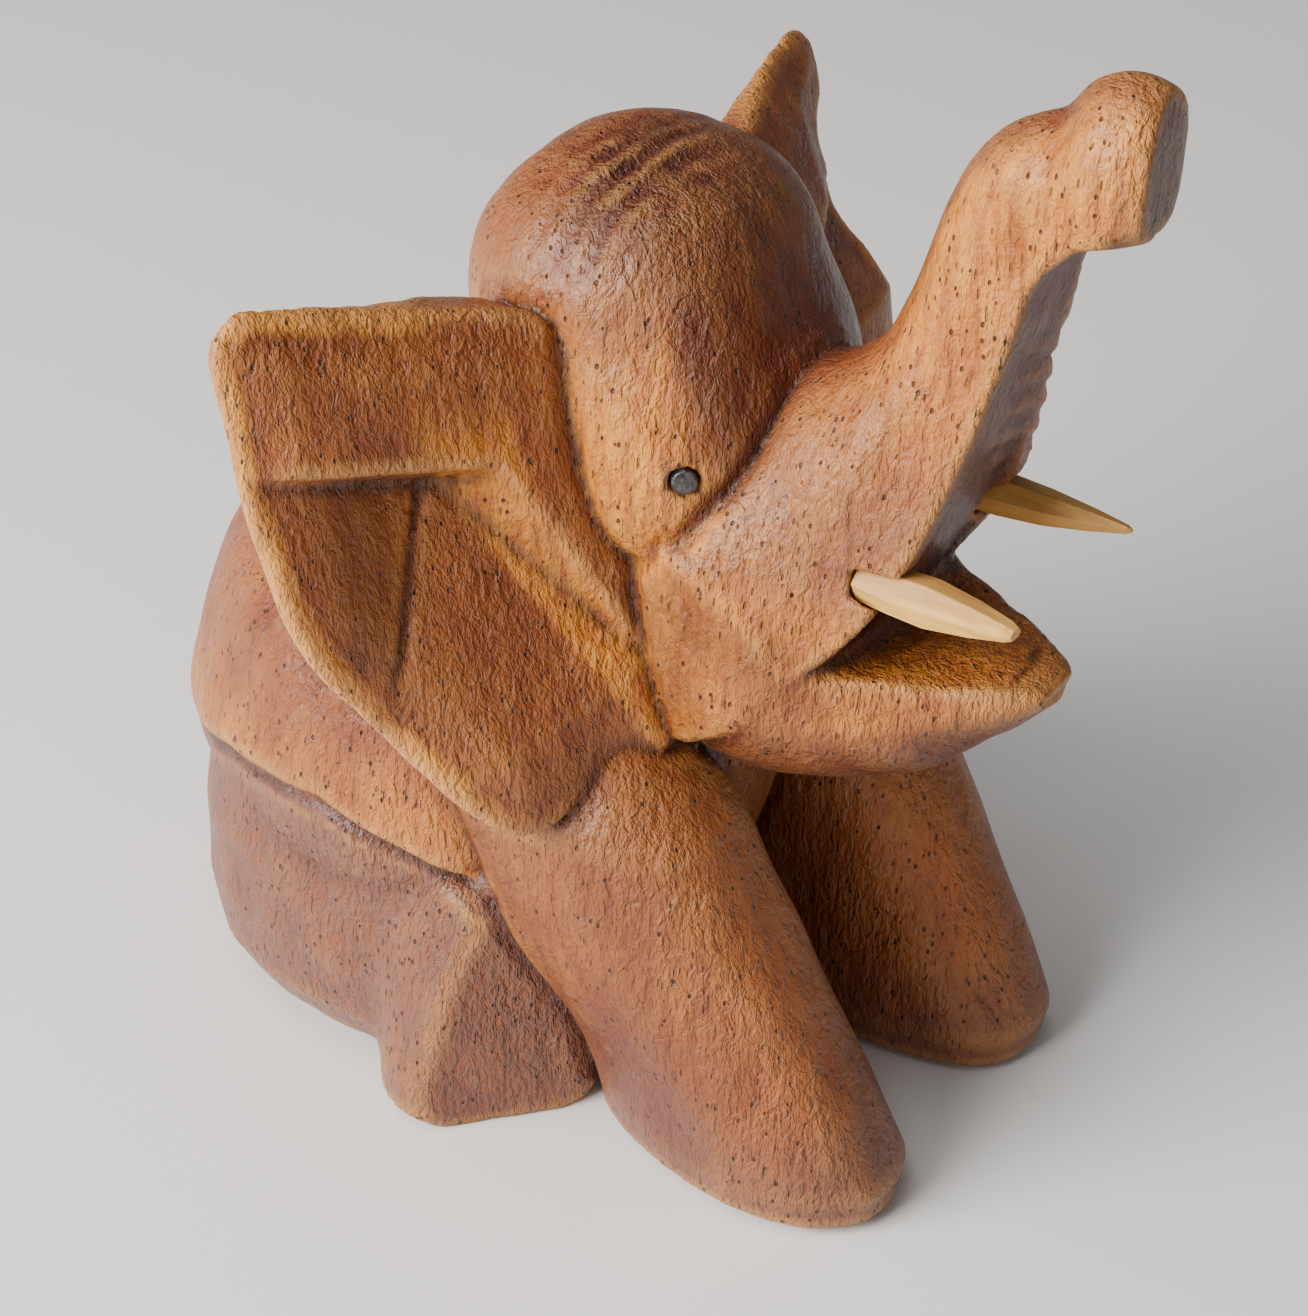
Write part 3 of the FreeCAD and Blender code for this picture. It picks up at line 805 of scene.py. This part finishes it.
def body_wood():
    """Reddish hardwood with vessels, chips, fibres, painted shade and sheen, under a thin
    clear varnish.
    """
    s = Shader("varnished_hardwood")
    broad = s.noise((0.035, 0.035, 0.012), detail=3, rough=0.55, bend=0.4)
    fibre = s.noise((0.9, 0.9, 0.10), detail=4, rough=0.65, bend=0.3)
    blotch = s.noise((0.12, 0.12, 0.06), detail=3, rough=0.6)
    chips = s.noise((0.95, 0.95, 0.55), detail=3, rough=0.6, bend=0.8)
    fine = s.noise((2.6, 2.6, 0.9), rough=0.6)
    scattered = s.span(s.noise((0.6, 0.6, 0.3), detail=1), 0.40, 0.54)
    pores = s.times(s.span(s.cells((0.95, 0.95, 0.62)), 0.18, 0.09), scattered)
    slits = s.times(s.span(s.cells((1.5, 1.5, 0.36)), 0.20, 0.08), s.span(blotch, 0.35, 0.6))

    heart = s.mix(s.span(broad, 0.36, 0.66), HEART_DEEP, HEART)
    sap = s.mix(s.span(fibre, 0.35, 0.65), SAP_DEEP, SAP)
    # each layer goes over the ones before it: where, and its colour
    layers = (
        (s.span(blotch, 0.42, 0.70, 0, 0.55), BLOTCH),
        (s.times(s.weight("gold"), s.span(blotch, 0.25, 0.6, 0.6, 1.0)), sap),
        # painted shade, and the crown's darker torn grain
        (s.times(s.weight("dark"), 0.82), SHADE_AND_DARK_GRAIN),
        # painted sheen: a lilac highlight on the haunch, the feet, the skull's side and the
        # trunk's root
        (s.times(s.weight("painted_sheen"), s.span(chips, 0.35, 0.65, 0.40, 0.90)), PAINTED_SHEEN),
        (s.span(fibre, 0.45, 0.30, 0, 0.35), FIBRE),
        (s.span(chips, 0.56, 0.75, 0, 0.30), CHIP),
        (s.times(s.weight("edge"), 0.55), WORN_EDGE),
        # painted shade in the creases
        (s.times(s.weight("hollow"), 0.65), CREASE_SHADE),
        (s.times(pores, 0.85), PORE),
        (s.times(slits, 0.55), SLIT),
    )
    colour = heart
    for where, layer in layers:
        colour = s.mix(where, colour, layer)

    height = s.times(chips, 0.9)
    for texture, amount in ((fine, 0.35), (fibre, 0.35), (pores, -0.9), (slits, -0.5)):
        height = s.times(texture, amount, height)
    s.set(Base_Color=colour, Normal=s.bump(height, 1.0, 0.85 * MM),
          Roughness=s.span(chips, 0.3, 0.7, 0.42, 0.60), Specular_IOR_Level=0.35,
          Coat_Weight=0.34, Coat_Roughness=0.20, Coat_Normal=s.bump(height, 0.5, 0.5 * MM))
    return s.material


# Colours of the tusks' and the pegs' wood.
TUSK_DEEP, TUSK_PALE = (0.62, 0.34, 0.06), (0.84, 0.52, 0.12)
TUSK_STAIN, TUSK_BROWN = (0.50, 0.25, 0.09), (0.36, 0.15, 0.05)
PEG_BLACK, PEG_GREY = (0.012, 0.010, 0.010), (0.06, 0.05, 0.047)


def tusk_wood():
    """Pale yellow wood, streaked along the tusk, with some brown left on top."""
    s = Shader("pale_tusk_wood")
    streak = s.noise((1.3, 0.12, 1.3), detail=4, rough=0.6, bend=0.3)
    broad = s.noise((0.2, 0.08, 0.2))
    colour = s.mix(s.span(streak, 0.35, 0.65), TUSK_DEEP, TUSK_PALE)
    colour = s.mix(s.span(broad, 0.40, 0.75, 0, 0.5), colour, TUSK_STAIN)
    colour = s.mix(s.times(s.weight("brown"), 0.75), colour, TUSK_BROWN)
    s.set(Base_Color=colour, Normal=s.bump(streak, 0.5, 0.2 * MM), Roughness=0.5,
          Specular_IOR_Level=0.3, Coat_Weight=0.12, Coat_Roughness=0.3)
    return s.material


def peg_wood():
    """Almost black wood, under a shiny varnish."""
    s = Shader("dark_eye_peg")
    spots = s.noise((1.6, 1.6, 1.2), detail=3, rough=0.6)
    colour = s.mix(s.span(spots, 0.45, 0.62), PEG_BLACK, PEG_GREY)
    s.set(Base_Color=colour, Normal=s.bump(spots, 0.6, 0.2 * MM), Roughness=0.35,
          Coat_Weight=0.4, Coat_Roughness=0.15)
    return s.material


# ---------------------------------------------------------------- pieces

def mesh_object(name, points, faces, material, weights, smooth=True):
    """A mesh from points in millimetres, with a named weight for each point."""
    mesh = bpy.data.meshes.new(name)
    faces = [tuple(int(i) for i in face) for face in faces]
    mesh.from_pydata([tuple(p) for p in np.asarray(points) * MM], [], faces)
    mesh.update()
    for key, values in weights.items():
        layer = mesh.attributes.new(key, "FLOAT", "POINT")
        layer.data.foreach_set("value", np.asarray(values, np.float32))
    mesh.polygons.foreach_set("use_smooth", [smooth] * len(mesh.polygons))
    mesh.materials.append(material)
    made = bpy.data.objects.new(name, mesh)
    bpy.context.scene.collection.objects.link(made)
    return made


def tusk_ring(wide, tall, round_to=None):
    """A six-cornered section, with each corner split in two and each side in half."""
    ring = []
    for a, b in zip(TUSK_CORNERS, np.roll(TUSK_CORNERS, -1)):
        start = np.array((math.cos(a) * wide, math.sin(a) * tall))
        end = np.array((math.cos(b) * wide, math.sin(b) * tall))
        for t in (0.04, 0.5, 0.96):
            point = start + (end - start) * t
            if round_to:
                point = point / np.linalg.norm(point) * round_to
            ring.append(point)
    return ring


def tusk_blade(side):
    """A whittled tusk: six-cornered sections along its own line, from tenon to tip."""
    name = "tusk_left" if side > 0 else "tusk_right"
    points, faces, brown = [], [], []
    for along, wide, tall, lift in TUSK_RINGS["left" if side > 0 else "right"]:
        ring = tusk_ring(wide, tall, TENON_RADIUS if along < 0 else None)
        if points:
            low, high = len(points) - len(ring), len(points)
            for j in range(len(ring)):
                k = (j + 1) % len(ring)
                faces.append((low + j, low + k, high + k, high + j))
        points += [(across, along, up + lift) for across, up in ring]
        # the near tusk is brown on top only, the far one all over
        brown += [step(0.3, 1.2, up) * 0.8 if side < 0 else 0.75 for _, up in ring]
    faces.append(tuple(range(len(ring)))[::-1])
    faces.append(tuple(range(len(points) - len(ring), len(points))))

    p = np.array(points)
    way = np.array((side * TUSK_WAY[0], TUSK_WAY[1], 0))
    across = np.array((way[1], -way[0], 0))
    at = np.array((side * TUSK_AT[0], TUSK_AT[1], TUSK_AT[2]))
    placed = at + p[:, :1] * across + p[:, 1:2] * way + p[:, 2:3] * np.array((0, 0, 1))
    made = mesh_object(name + "_whittled", placed, faces, TUSK_WOOD, {"brown": brown},
                       smooth=False)
    soften = made.modifiers.new("soften", "BEVEL")
    soften.width = TUSK_EDGE * MM
    soften.segments = 2
    soften.limit_method = "ANGLE"
    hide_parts(name)
    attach(made, "root")


# ---------------------------------------------------------------- studio (metres)

FLOOR_HALF = 3.0
FLOOR_COLOUR = (0.78, 0.77, 0.755)
LAMP_AIM = Vector((0, 0, 0.055))
# Each lamp: the way to it, its distance, width and height, power in watts and colour.
LAMPS = {
    "window": ((-0.85, 0.40, 0.46), 0.60, (0.46, 0.40), 10.0, (1.0, 0.97, 0.95)),
    "ceiling": ((-0.25, 0.10, 1.0), 0.60, (0.34, 0.34), 1.6, (1.0, 0.97, 0.93)),
    "fill": ((-0.75, -0.85, 0.45), 0.70, (0.35, 0.35), 0.35, (1.0, 0.94, 0.86)),
}
SKY_COLOUR, SKY_STRENGTH = (0.92, 0.95, 1.0, 1), 0.19

# The camera's place, its own right and forward ways, and its lens and sensor in millimetres.
CAMERA_AT = (-0.21141, -0.14388, 0.21464)
CAMERA_RIGHT = (0.5610, -0.8278, 0.0)
CAMERA_FORWARD = (0.6820, 0.4622, -0.5669)
CAMERA_LENS, CAMERA_SENSOR = 95.74, 36


def stage():
    s = FLOOR_HALF
    floor = bpy.data.meshes.new("floor")
    floor.from_pydata([(-s, -s, 0), (s, -s, 0), (s, s, 0), (-s, s, 0)], [], [(0, 1, 2, 3)])
    made = bpy.data.objects.new("floor", floor)
    shade = Shader("pale_floor")
    shade.set(Base_Color=FLOOR_COLOUR, Roughness=0.75, Specular_IOR_Level=0.2)
    floor.materials.append(shade.material)
    bpy.context.scene.collection.objects.link(made)


def studio():
    world = bpy.data.worlds.new("studio")
    world.use_nodes = True
    shade = world.node_tree.nodes["Background"]
    shade.inputs["Color"].default_value = SKY_COLOUR
    shade.inputs["Strength"].default_value = SKY_STRENGTH
    bpy.context.scene.world = world
    for name, (way, distance, size, power, colour) in LAMPS.items():
        data = bpy.data.lights.new(name, "AREA")
        data.shape = "RECTANGLE"
        data.size, data.size_y = size
        data.energy = power
        data.color = colour
        made = bpy.data.objects.new(name, data)
        made.location = LAMP_AIM + Vector(way).normalized() * distance
        made.rotation_mode = "QUATERNION"
        made.rotation_quaternion = (LAMP_AIM - made.location).to_track_quat("-Z", "Y")
        bpy.context.scene.collection.objects.link(made)


def camera():
    data = bpy.data.cameras.new("camera")
    data.sensor_fit = "AUTO"
    data.sensor_width = CAMERA_SENSOR
    data.lens = CAMERA_LENS
    data.clip_start = 0.01
    made = bpy.data.objects.new("camera", data)
    made.location = CAMERA_AT
    right = Vector(CAMERA_RIGHT).normalized()
    forward = Vector(CAMERA_FORWARD).normalized()
    up = right.cross(forward).normalized()
    made.rotation_mode = "QUATERNION"
    made.rotation_quaternion = Matrix((right, up, -forward)).transposed().to_quaternion()
    bpy.context.scene.collection.objects.link(made)
    bpy.context.scene.camera = made


# ---------------------------------------------------------------- the scene

BODY_WOOD, TUSK_WOOD, PEG_WOOD = body_wood(), tusk_wood(), peg_wood()

points, quads = sculpt()
body = mesh_object("carved_block", points, quads, BODY_WOOD, shape_colours(points))
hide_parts("carved_body")
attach(body, "root")

for side in (-1, 1):
    tusk_blade(side)

for node in ("eye_left", "eye_right"):
    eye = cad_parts[node]
    for place in eye.material_slots:
        place.link = "OBJECT"
        place.material = PEG_WOOD

stage()
studio()
camera()
